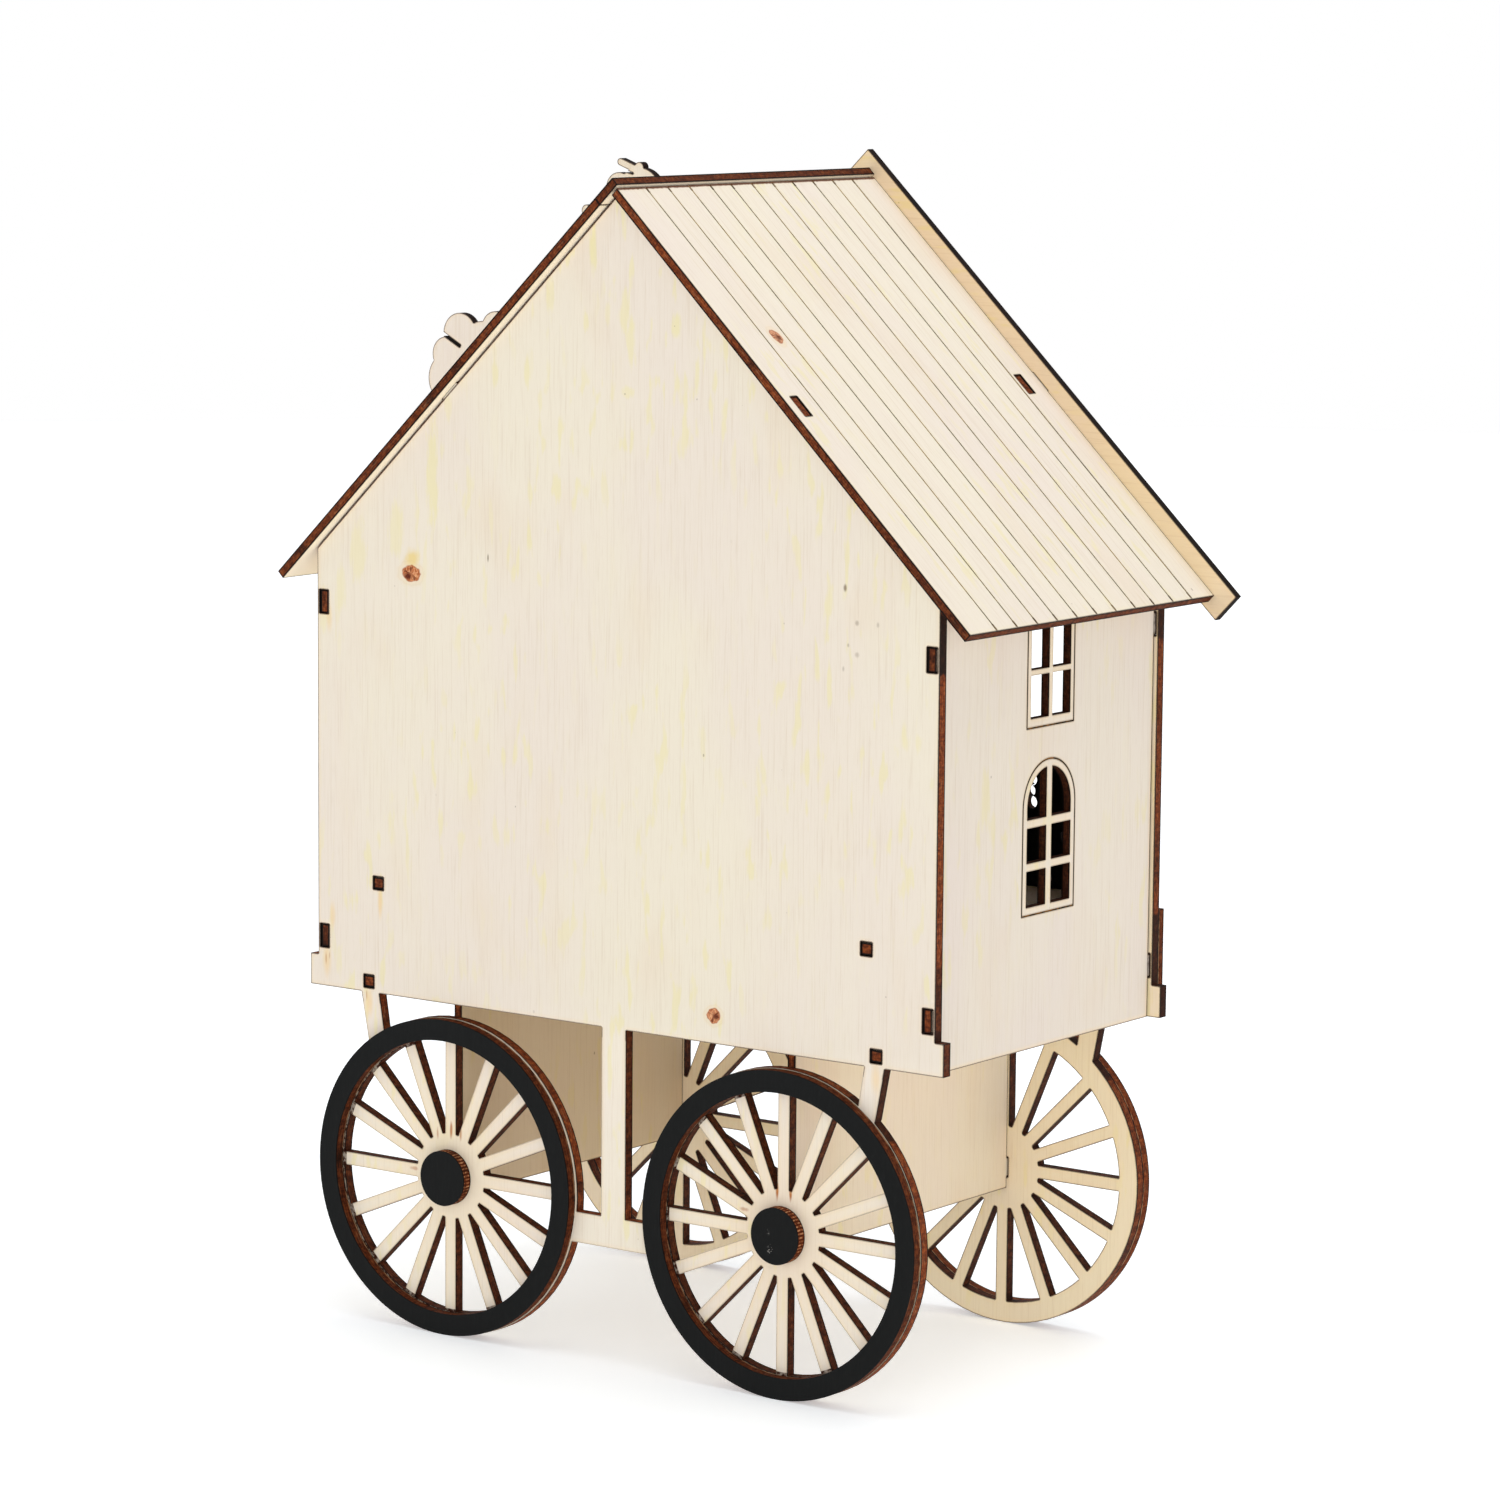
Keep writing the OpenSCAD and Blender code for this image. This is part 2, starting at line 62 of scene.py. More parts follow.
class Graph:
    """A small builder for node trees: every call returns an output socket."""

    def __init__(self, mat):
        mat.use_nodes = True
        self.nt = mat.node_tree
        self.nt.nodes.clear()
        self.out = self.nt.nodes.new("ShaderNodeOutputMaterial")

    def put(self, socket, value):
        if isinstance(value, bpy.types.NodeSocket):
            self.nt.links.new(value, socket)
        elif value is not None:
            socket.default_value = value

    def math(self, op, a, b=None, c=None, clamp=False):
        n = self.nt.nodes.new("ShaderNodeMath")
        n.operation = op
        n.use_clamp = clamp
        self.put(n.inputs[0], a)
        self.put(n.inputs[1], b)
        self.put(n.inputs[2], c)
        return n.outputs[0]

    def add(self, a, b):
        return self.math("ADD", a, b)

    def mul(self, a, b):
        return self.math("MULTIPLY", a, b)

    def dot(self, v, w):
        n = self.nt.nodes.new("ShaderNodeVectorMath")
        n.operation = "DOT_PRODUCT"
        self.put(n.inputs[0], v)
        self.put(n.inputs[1], w)
        return n.outputs["Value"]

    def vec(self, x, y, z):
        n = self.nt.nodes.new("ShaderNodeCombineXYZ")
        self.put(n.inputs[0], x)
        self.put(n.inputs[1], y)
        self.put(n.inputs[2], z)
        return n.outputs[0]

    def ramp(self, v, lo, hi, a=0.0, b=1.0, smooth=True):
        n = self.nt.nodes.new("ShaderNodeMapRange")
        n.clamp = True
        if smooth:
            n.interpolation_type = "SMOOTHSTEP"
        self.put(n.inputs["Value"], v)
        self.put(n.inputs["From Min"], lo)
        self.put(n.inputs["From Max"], hi)
        self.put(n.inputs["To Min"], a)
        self.put(n.inputs["To Max"], b)
        return n.outputs["Result"]

    def noise(self, v, scale=1.0, detail=2.0, rough=0.5, distort=0.0):
        n = self.nt.nodes.new("ShaderNodeTexNoise")
        self.put(n.inputs["Vector"], v)
        n.inputs["Scale"].default_value = scale
        n.inputs["Detail"].default_value = detail
        n.inputs["Roughness"].default_value = rough
        n.inputs["Distortion"].default_value = distort
        return n.outputs["Fac"]

    def voronoi(self, v, scale=1.0, rnd=1.0):
        n = self.nt.nodes.new("ShaderNodeTexVoronoi")
        n.voronoi_dimensions = "2D"
        self.put(n.inputs["Vector"], v)
        n.inputs["Scale"].default_value = scale
        n.inputs["Randomness"].default_value = rnd
        return n.outputs["Distance"], n.outputs["Color"]

    def mix(self, fac, a, b, mode="MIX"):
        n = self.nt.nodes.new("ShaderNodeMix")
        n.data_type = "RGBA"
        n.blend_type = mode
        self.put(n.inputs[0], fac)
        self.put(n.inputs[6], a)
        self.put(n.inputs[7], b)
        return n.outputs[2]

    def colors(self, fac, stops, interpolation="LINEAR"):
        n = self.nt.nodes.new("ShaderNodeValToRGB")
        cr = n.color_ramp
        cr.interpolation = interpolation
        while len(cr.elements) > 1:
            cr.elements.remove(cr.elements[-1])
        cr.elements[0].position = stops[0][0]
        cr.elements[0].color = stops[0][1]
        for p, c in stops[1:]:
            e = cr.elements.new(p)
            e.color = c
        self.put(n.inputs[0], fac)
        return n.outputs[0]

    def ao(self, distance, samples=8):
        n = self.nt.nodes.new("ShaderNodeAmbientOcclusion")
        n.inside = True
        n.only_local = True
        n.samples = samples
        n.inputs["Distance"].default_value = distance
        return n.outputs["AO"]

    def bump(self, height, distance, strength=1.0, normal=None):
        n = self.nt.nodes.new("ShaderNodeBump")
        n.inputs["Distance"].default_value = distance
        n.inputs["Strength"].default_value = strength
        self.put(n.inputs["Height"], height)
        if normal is not None:
            self.put(n.inputs["Normal"], normal)
        return n.outputs[0]


CREAM_PINK = srgb(238, 226, 213)
CREAM_YELLOW = srgb(240, 230, 212)
CREAM_WARM = srgb(236, 219, 197)
STREAK = srgb(238, 227, 178)
FIBRE = srgb(208, 186, 156)
SPECK = srgb(120, 96, 74)
KNOT_LIGHT = srgb(234, 178, 132)
KNOT = srgb(210, 132, 86)
KNOT_DEEP = srgb(162, 80, 42)
KNOT_CORE = srgb(88, 26, 10)
FLARE = srgb(236, 210, 138)
# a dark scorch tone, also used for painted shade in the gap beneath the roof and in the step round the wheels
BURN_AND_SHADE = srgb(58, 24, 10)
# the near-black of soot on cut edges, also used for painted shade on edges that lie in shadow
SOOT_AND_SHADE = srgb(17, 9, 6)
CUT_DARK = srgb(62, 24, 7)
CUT_BROWN = srgb(106, 47, 19)
CUT_RED = srgb(135, 64, 28)
CUT_LIGHT = srgb(172, 92, 42)
CUT_PALE = srgb(206, 160, 118)
ENGRAVE = srgb(168, 134, 84)
ENGRAVE_DARK = srgb(96, 72, 42)
SCORE = srgb(192, 160, 106)
SCORE_DARK = srgb(102, 78, 42)
# painted light: a pale tone laid on undersides that the lamps leave in shade
UNDERSIDE_LIGHT = srgb(255, 240, 214)
HALO = srgb(240, 210, 160)
DRIP = srgb(176, 98, 30)
PAINT = srgb(18, 19, 19)
PAINT_WORN = srgb(29, 30, 30)


def ply(name, n, grain, t0, t1, seed=0.0, black=(), soot=0.35, pale_side=0, knots=(), specks=(), tint=None,
        streaks=1.0, edge_black=0.0, stains=(), blots=(), zones=(), lines=(), rings=(), drips=(), groove=None,
        edge_gain=1.0, scuffs=(), discs=(), score=(ENGRAVE_DARK, ENGRAVE), underside_light=0.0, calm=None, halo=0.26,
        margin=HALO, line_tone=BURN_AND_SHADE, teeth=None, tint_from=None,
        tint_side=0):
    """Laser-cut plywood. n is the sheet's normal, grain the direction of its face grain, t0 and t1 where its two faces
    lie along n, in mm. Positions are in mm from the frame's origin, a along the grain and b across it.
    black: +1 and/or -1 for the faces that are painted black. knots: (a, b, radius along, radius across, strength, core
    offset along, core offset across, flare). blots: yellow patches (a, b, ra, rb, strength). zones: boxes (a0, a1, b0,
    b1, strength) whose cut edges are darkened: soot, and painted shade where the edges lie in shadow. lines: dark lines
    on
    the face (ka, kb, c, half width, strength): scorching, and painted shade where they lie in a crevice. rings: dark
    annuli
    on the face (a, b, r0, r1, strength): a scorch with painted shade in the step. drips: resin runs (a, b, ra, rb,
    strength).
    groove: (b0, b1) where walls across the grain are the sides of engraved lines. scuffs: pale rubbed spots in the
    paint.
    discs: round regions (a, b, r, strength) whose cut edges are darkened by soot and painted shade. score: the dark and
    light
    tone of engraved lines. calm: box (a0, a1, b0, b1, share) on the face where cuts are burnt less. halo and margin:
    strength and tone of the smoke-tinted margin. line_tone: the tone of the dark lines. underside_light: share of
    painted light laid on the -n face. teeth: beam stripes round a disc's edge (a, b, count, strength).
    tint_from: the tint fades in between these two values of a. tint_side: -1 tints only the -n face."""
    mat = bpy.data.materials.new(name)
    g = Graph(mat)
    n = Vector(n).normalized()
    grain = Vector(grain).normalized()
    cross = n.cross(grain)
    thick = t1 - t0
    tc = g.nt.nodes.new("ShaderNodeTexCoord")
    geo = g.nt.nodes.new("ShaderNodeNewGeometry")
    P = tc.outputs["Object"]
    a = g.dot(P, tuple(grain * 1000.0))
    b = g.dot(P, tuple(cross * 1000.0))
    d = g.dot(P, tuple(n * 1000.0))
    t = g.math("DIVIDE", g.add(d, -t0), thick)
    nd = g.dot(geo.outputs["True Normal"], tuple(n))
    plus = g.math("GREATER_THAN", nd, 0.6)
    minus = g.math("LESS_THAN", nd, -0.6)
    face = g.add(plus, minus)

    def blob(a0, b0, ra, rb, wob=None, amount=0.0):
        da = g.mul(g.add(a, -a0), 1.0 / ra)
        db = g.mul(g.add(b, -b0), 1.0 / rb)
        r = g.math("SQRT", g.add(g.mul(da, da), g.mul(db, db)))
        if wob is not None:
            r = g.add(r, g.mul(g.add(wob, -0.5), amount))
        return r

    # --- bare face: cream veneer with fine fibres, yellow patches, pin specks and knots
    so = seed * 37.13
    big = g.noise(g.vec(g.mul(g.add(a, so), 0.010), g.mul(g.add(b, so), 0.022), so), 1.0, 3.0, 0.55)
    col = g.mix(g.ramp(big, 0.36, 0.64), CREAM_PINK, CREAM_YELLOW)
    warm = g.noise(g.vec(g.mul(g.add(a, so), 0.022), g.mul(g.add(b, -so), 0.05), so + 7), 1.0, 2.0, 0.5)
    col = g.mix(g.mul(g.ramp(warm, 0.52, 0.74), 0.42), col, CREAM_WARM)
    fib = g.noise(g.vec(g.mul(a, 0.045), g.mul(b, 1.9), so + 3), 1.0, 5.0, 0.62, 0.4)
    col = g.mix(g.mul(g.ramp(fib, 0.48, 0.78), 0.34), col, FIBRE)
    fine = g.noise(g.vec(g.mul(a, 0.22), g.mul(b, 4.6), so + 5), 1.0, 3.0, 0.6)
    col = g.mix(g.mul(g.ramp(fine, 0.50, 0.82), 0.19), col, FIBRE)
    s1 = g.noise(g.vec(g.mul(a, 0.085), g.mul(b, 0.34), so + 11), 1.0, 2.0, 0.5, 0.15)
    s2 = g.noise(g.vec(g.mul(a, 0.018), g.mul(b, 0.020), so + 17), 1.0, 1.0, 0.5)
    yellow = g.mul(g.ramp(s1, 0.565, 0.665), g.ramp(s2, 0.40, 0.60, 0.10, 1.0))
    col = g.mix(g.mul(yellow, 0.62 * streaks), col, STREAK)
    soft = g.noise(g.vec(g.mul(a, 0.16), g.mul(b, 0.9), so + 13), 1.0, 3.0, 0.6)
    for (ya, yb, ra, rb, strength) in blots:
        col = g.mix(g.mul(g.ramp(blob(ya, yb, ra, rb, soft, 1.6), 1.15, 0.55), strength), col, STREAK)
    # pores and pin specks
    vd, vc = g.voronoi(g.vec(g.mul(g.add(a, so), 0.055), g.mul(g.add(b, so), 0.085), 0.0), 1.0)
    rnd = g.nt.nodes.new("ShaderNodeSeparateColor")
    g.put(rnd.inputs[0], vc)
    size = g.ramp(rnd.outputs[0], 0.86, 1.0, 0.0, 0.026, smooth=False)
    spot = g.math("LESS_THAN", vd, size)
    col = g.mix(g.mul(spot, g.ramp(rnd.outputs[1], 0.0, 1.0, 0.05, 0.5)), col, SPECK)
    for i, (ka, kb, ra, rb, strength, ca, cb, flare) in enumerate(knots):
        wob = g.noise(g.vec(g.mul(a, 0.42), g.mul(b, 0.42), so + i), 1.0, 2.0, 0.55)
        rad = blob(ka, kb, ra, rb, wob, 0.75)
        vein = g.noise(g.vec(g.mul(a, 1.0), g.mul(b, 2.3), so + i + 4), 1.0, 3.0, 0.7, 0.8)
        col = g.mix(g.mul(g.ramp(blob(ka + ra * 1.75, kb - rb * 0.15, ra * 1.5, rb * 0.95, wob, 0.8), 1.2, 0.2), flare),
                    col, FLARE)
        col = g.mix(g.mul(g.ramp(rad, 1.9, 1.15), 0.30 * strength), col, HALO)
        col = g.mix(g.mul(g.mul(g.ramp(rad, 1.62, 1.50), g.ramp(rad, 1.36, 1.46)), 0.10 * strength), col, srgb(206, 186, 140))
        body = g.colors(vein, [(0.34, KNOT_LIGHT), (0.48, KNOT), (0.62, KNOT_DEEP)])
        col = g.mix(g.mul(g.ramp(rad, 1.08, 0.90), strength), col, body)
        col = g.mix(g.mul(g.mul(g.ramp(rad, 1.08, 0.98), g.ramp(rad, 0.84, 0.94)), 0.45 * strength), col, KNOT_DEEP)
        rc = blob(ka + ca * ra, kb + cb * rb, ra * 0.62, rb * 0.62, vein, 1.6)
        turn = g.math("ARCTAN2", g.mul(g.add(a, -ka), 1.0 / ra), g.mul(g.add(b, -kb), 1.0 / rb))
        crack = g.noise(g.vec(g.mul(turn, 2.6), g.mul(rad, 0.5), so + i + 9), 1.0, 2.0, 0.6)
        col = g.mix(g.mul(g.mul(g.ramp(crack, 0.54, 0.60), g.ramp(rad, 0.95, 0.75)), 0.75 * strength), col, KNOT_CORE)
        col = g.mix(g.mul(g.mul(g.ramp(crack, 0.42, 0.36), g.ramp(rad, 0.95, 0.75)), 0.45 * strength), col, KNOT_LIGHT)
        col = g.mix(g.mul(g.mul(g.ramp(rc, 1.0, 0.25), g.ramp(rad, 1.0, 0.9)), 0.95 * strength), col, KNOT_CORE)
    for (sa, sb, ra, rb, strength) in specks:
        col = g.mix(g.mul(g.ramp(blob(sa, sb, ra, rb), 1.2, 0.3), strength), col, SPECK)
    for (sa, sb, ra, rb, strength) in stains:
        col = g.mix(g.mul(g.ramp(blob(sa, sb, ra, rb, fib, 0.9), 1.25, 0.2), strength), col, HALO)
    for (sa, sb, ra, rb, strength) in drips:
        col = g.mix(g.mul(g.ramp(blob(sa, sb, ra, rb, soft, 1.1), 1.2, 0.3), strength), col, DRIP)
    if tint is not None:
        where = 1.0 if tint_from is None else g.ramp(a, tint_from[0], tint_from[1])
        col = g.mix(minus if tint_side < 0 else where, col, tint, "MULTIPLY")
    # the -n face is painted paler: a painted highlight standing for light that doesn't reach the underside
    if underside_light:
        col = g.mix(g.mul(minus, underside_light), col, UNDERSIDE_LIGHT)
    # smoke-tinted margin and a burnt arris along every cut
    near = g.ao(0.0015, 6)
    arris = g.ao(0.00050, 8)
    if calm is None:
        col = g.mix(g.mul(g.ramp(near, 0.97, 0.62), halo), col, HALO)
        col = g.mix(g.mul(g.ramp(arris, 0.90, 0.66), 0.86), col, BURN_AND_SHADE)
    else:
        keep = g.mul(g.mul(g.math("GREATER_THAN", a, calm[0]), g.math("LESS_THAN", a, calm[1])),
                     g.mul(g.math("GREATER_THAN", b, calm[2]), g.math("LESS_THAN", b, calm[3])))
        keep = g.math("SUBTRACT", 1.0, g.mul(keep, calm[4]))
        col = g.mix(g.mul(g.ramp(near, 0.97, 0.62), halo), col, margin)
        col = g.mix(g.mul(g.mul(g.ramp(arris, 0.90, 0.66), 0.86), keep), col, BURN_AND_SHADE)
    burn_noise = g.noise(g.vec(g.mul(a, 0.8), g.mul(b, 0.8), so + 23), 1.0, 3.0, 0.6)
    # dark lines: scorching, and painted shade where a line lies in a crevice
    for (la, lb, c, w, strength) in lines:
        off = g.math("ABSOLUTE", g.add(g.add(g.mul(a, la), g.mul(b, lb)), -c))
        off = g.add(off, g.mul(g.add(burn_noise, -0.5), w * 0.9))
        col = g.mix(g.mul(g.ramp(off, w * 1.3, w * 0.6), strength), col, line_tone)
    # dark annuli: a scorch, with painted shade in a step
    for (ra_, rb_, r0, r1, strength) in rings:
        r = blob(ra_, rb_, 1.0, 1.0)
        band = g.mul(g.ramp(r, r0 - 0.05, r0 + 0.05), g.ramp(r, r1 + 0.10, r1 - 0.10))
        col = g.mix(g.mul(band, g.ramp(burn_noise, 0.35, 0.60, strength * 0.55, strength)), col, BURN_AND_SHADE)
    bare = col

    # --- black paint: matte, with a faint grain telegraphing through
    pw = g.noise(g.vec(g.mul(a, 0.35), g.mul(b, 1.8), so + 2), 1.0, 4.0, 0.6)
    paint = g.mix(g.mul(g.ramp(pw, 0.45, 0.85), 0.45), PAINT, PAINT_WORN)
    fleck = g.noise(g.vec(g.mul(a, 1.1), g.mul(b, 1.1), so + 9), 1.0, 2.0, 0.5)
    paint = g.mix(g.mul(g.ramp(fleck, 0.79, 0.84), 0.35), paint, srgb(120, 118, 112))
    for (sa, sb, ra, rb, strength) in scuffs:
        sn = g.noise(g.vec(g.mul(a, 1.7), g.mul(b, 1.3), so + 41), 1.0, 3.0, 0.65, 0.8)
        m_ = g.mul(g.ramp(blob(sa, sb, ra, rb), 1.1, 0.5), g.ramp(sn, 0.57, 0.63))
        paint = g.mix(g.mul(m_, strength), paint, srgb(196, 190, 182))
    black_mask = None
    if black:
        parts = []
        if 1 in black:
            parts.append(plus)
        if -1 in black:
            parts.append(minus)
        black_mask = parts[0] if len(parts) == 1 else g.add(parts[0], parts[1])
        facecol = g.mix(black_mask, bare, paint)
    else:
        facecol = bare

    # --- groove bottoms: a shallow engraving scorched olive brown, stronger in places
    deep_p = g.mul(plus, g.math("LESS_THAN", t, 1.0 - 0.12 / thick))
    deep_m = g.mul(minus, g.math("GREATER_THAN", t, 0.12 / thick))
    deep = g.add(deep_p, deep_m)
    en = g.noise(g.vec(g.mul(a, 0.10), g.mul(b, 0.30), so + 21), 1.0, 4.0, 0.65)
    engr = g.mix(g.ramp(en, 0.40, 0.60), score[0], score[1])
    facecol = g.mix(deep, facecol, engr)

    # --- cut edge: sooted along both faces, red-brown and mottled between, with glue lines and beam striations
    e = g.mul(g.math("MINIMUM", t, g.math("SUBTRACT", 1.0, t)), thick)
    m1 = g.noise(g.vec(g.mul(a, 0.85), g.mul(b, 0.85), g.mul(t, 2.6)), 1.0, 4.0, 0.68, 0.3)
    m2 = g.noise(g.vec(g.mul(a, 0.5), g.mul(b, 0.5), g.add(g.mul(t, 1.2), so)), 1.0, 3.0, 0.6)
    edge = g.colors(m1, [(0.28, CUT_DARK), (0.43, CUT_BROWN), (0.54, CUT_RED), (0.72, CUT_LIGHT)])
    stri = g.noise(g.vec(g.mul(a, 2.0), g.mul(b, 2.0), g.mul(t, 0.45)), 1.0, 2.5, 0.62)
    edge = g.mix(g.mul(g.ramp(stri, 0.50, 0.72), 0.62), edge, BURN_AND_SHADE)
    long = g.noise(g.vec(g.mul(a, 0.30), g.mul(b, 0.30), g.mul(t, 6.0)), 1.0, 3.0, 0.6)
    edge = g.mix(g.mul(g.ramp(long, 0.54, 0.74), 0.26), edge, CUT_PALE)
    glue = g.math("ABSOLUTE", g.add(g.math("ABSOLUTE", g.add(t, -0.5)), -0.17))
    edge = g.mix(g.mul(g.ramp(glue, 0.055, 0.015), g.ramp(m2, 0.40, 0.60, 0.15, 0.75)), edge, BURN_AND_SHADE)
    if teeth is not None:
        turn = g.math("ARCTAN2", g.add(a, -teeth[0]), g.add(b, -teeth[1]))
        wave = g.math("SINE", g.add(g.mul(turn, teeth[2]), g.mul(m2, 3.0)))
        edge = g.mix(g.mul(g.ramp(wave, -0.1, 0.7), teeth[3]), edge, CUT_DARK)
        edge = g.mix(g.mul(g.mul(g.ramp(wave, -0.3, -0.8), g.ramp(m1, 0.44, 0.60)), 0.7), edge, CUT_PALE)
    if edge_gain != 1.0:
        edge = g.mix(1.0, edge, (edge_gain, edge_gain, edge_gain, 1.0), "MULTIPLY")
    out = g.add(e, g.mul(g.add(m2, -0.5), 0.42))
    edge = g.mix(g.ramp(out, 0.54, 0.24), edge, SOOT_AND_SHADE)
    edge = g.mix(g.mul(g.ramp(arris, 0.92, 0.70), 0.9), edge, SOOT_AND_SHADE)
    patch = g.noise(g.vec(g.mul(a, 0.045), g.mul(b, 0.045), so + 31), 1.0, 3.0, 0.6)
    soot_and_shade = g.ramp(g.add(patch, g.mul(g.add(m2, -0.5), 0.25)), 0.64 - 0.3 * soot, 0.84 - 0.3 * soot, 0.0, 0.85)
    # discs and zones darken cut edges with soot, and with painted shade where the edges lie in shadow
    for (ra_, rb_, r0, strength) in discs:
        soot_and_shade = g.math("MAXIMUM", soot_and_shade, g.mul(g.ramp(blob(ra_, rb_, 1.0, 1.0), r0 + 0.3, r0 - 0.3),
                                               g.ramp(m2, 0.34, 0.60, strength * 1.15, strength * 0.8)))
    for (a0, a1, b0, b1, strength) in zones:
        jag = g.mul(g.add(m2, -0.5), 5.0)
        ina = g.mul(g.ramp(g.add(a, jag), a0 - 0.8, a0 + 0.8), g.ramp(g.add(a, jag), a1 + 0.8, a1 - 0.8))
        inb = g.mul(g.math("GREATER_THAN", b, b0), g.math("LESS_THAN", b, b1))
        soot_and_shade = g.math("MAXIMUM", soot_and_shade, g.mul(g.mul(ina, inb), strength))
    edge = g.mix(soot_and_shade, edge, SOOT_AND_SHADE)
    if pale_side:
        pt = t if pale_side > 0 else g.math("SUBTRACT", 1.0, t)
        line = g.mul(g.ramp(pt, 0.84, 0.89), g.ramp(pt, 0.97, 0.93))
        edge = g.mix(g.mul(line, g.ramp(long, 0.42, 0.60, 0.0, 0.75)), edge, CUT_PALE)
    if edge_black:
        edge = g.mix(edge_black, edge, srgb(13, 11, 10))
    if groove is not None:
        nb = g.math("ABSOLUTE", g.dot(geo.outputs["True Normal"], tuple(cross)))
        inside = g.mul(g.math("GREATER_THAN", b, groove[0]), g.math("LESS_THAN", b, groove[1]))
        edge = g.mix(g.mul(g.math("GREATER_THAN", nb, 0.8), inside), edge, engr)

    color = g.mix(face, edge, facecol)

    # --- roughness and relief
    rough = g.add(0.62, g.mul(fib, 0.22))
    if black_mask is not None:
        rough = g.math("ADD", g.mul(black_mask, -0.12), rough)
    rough = g.math("MULTIPLY_ADD", g.math("SUBTRACT", 1.0, face), 0.08, rough)
    height = g.add(g.mul(fib, 0.6), g.mul(fine, 0.4))
    hface = g.mul(height, face)
    hedge = g.mul(g.add(g.mul(stri, 1.4), m1), g.math("SUBTRACT", 1.0, face))
    nrm = g.bump(g.add(hface, hedge), 0.00007, 0.6)

    bs = g.nt.nodes.new("ShaderNodeBsdfPrincipled")
    g.put(bs.inputs["Base Color"], color)
    g.put(bs.inputs["Roughness"], rough)
    g.put(bs.inputs["Normal"], nrm)
    bs.inputs["Specular IOR Level"].default_value = 0.10 if black else 0.14
    g.nt.links.new(bs.outputs[0], g.out.inputs[0])
    return mat


def dress(node, mat):
    o = nodes[node]
    o.data.materials.clear()
    o.data.materials.append(mat)


# ----------------------------------------------------------------------------
# One material for each sheet, laid out by where the sheet lies
# ----------------------------------------------------------------------------
HD, PT, ST = 51.8, 3.0, 2.4
slope = math.radians(43.9)
Y, Z, X = (0, 1, 0), (0, 0, 1), (1, 0, 0)
APEX = 303.2
WX, WR = 54.3, 42.5
sn, cs = math.sin(slope), math.cos(slope)
drop = 0.3 / cs

# dark lines along both sloping edges of a gable sheet: a scorched arris, and painted shade of the gap beneath the roof
roof_lines = [(cs, side * sn, (APEX - drop) * cs - 0.12, 0.22, 0.8) for side in (1, -1)]
# the step between a wheel's ring and its black rim is painted dark: a scorch, and painted shade in the step
ring_step_scorch_and_shade = [(WR, side * WX, 36.0, 37.75, 1.0) for side in (1, -1)]
# cut edges darkened where the side walls' tabs meet the sheet and at every slot: soot, and painted shade in the slots'
# gaps, beside the eave, below the floor and on the post
plate_soot_and_shade = [(188.5, 204.0, -101.0, -93.0, 0.93), (94.5, 100.5, -101.0, -99.2, 0.8), (106.0, 112.0, -101.0, -99.2, 0.7),
               (98.5, 106.2, -99.9, -95.5, 1.0), (88.9, 94.3, -84.9, -79.9, 1.0), (115.6, 121.2, -81.8, -76.6, 1.0),
               (188.5, 196.2, -99.6, -95.5, 1.0), (98.5, 106.2, 95.5, 99.9, 1.0), (88.9, 94.3, 79.9, 84.9, 1.0),
               (115.6, 121.2, 76.6, 81.8, 1.0), (188.5, 196.2, 95.5, 99.9, 1.0), (70.0, 88.5, -87.0, -74.0, 0.75),
               (88.0, 98.0, -104.0, -99.0, 0.5), (96.0, 116.0, -101.0, -99.2, 0.55),
               (44.0, 90.0, -12.0, 12.0, 0.5)]
# the wheels' openings are darker than the sheet's outline: soot, and painted shade inside the wheels
wheel_soot_and_shade = [(WR, side * WX, 40.5, 0.62) for side in (1, -1)]
resin = [(WR + 10.8, -WX + 1.9, 2.6, 0.6, 1.0), (WR + 10.8, -WX - 2.3, 2.2, 0.5, 0.95), (WR + 12.4, WX - 0.2, 2.6, 0.5, 0.8),
         (WR + 11.6, WX - 3.4, 2.2, 0.45, 0.7), (WR + 10.9, WX + 4.4, 1.8, 0.5, 0.55), (WR + 4.6, -WX + 12.2, 0.6, 1.7, 0.5),
         (WR + 0.4, WX + 12.4, 0.6, 1.6, 0.5), (96.4, 97.4, 1.9, 0.28, 0.5), (97.0, 96.2, 1.2, 0.2, 0.4),
         (87.9, 83.2, 1.6, 0.25, 0.5)]
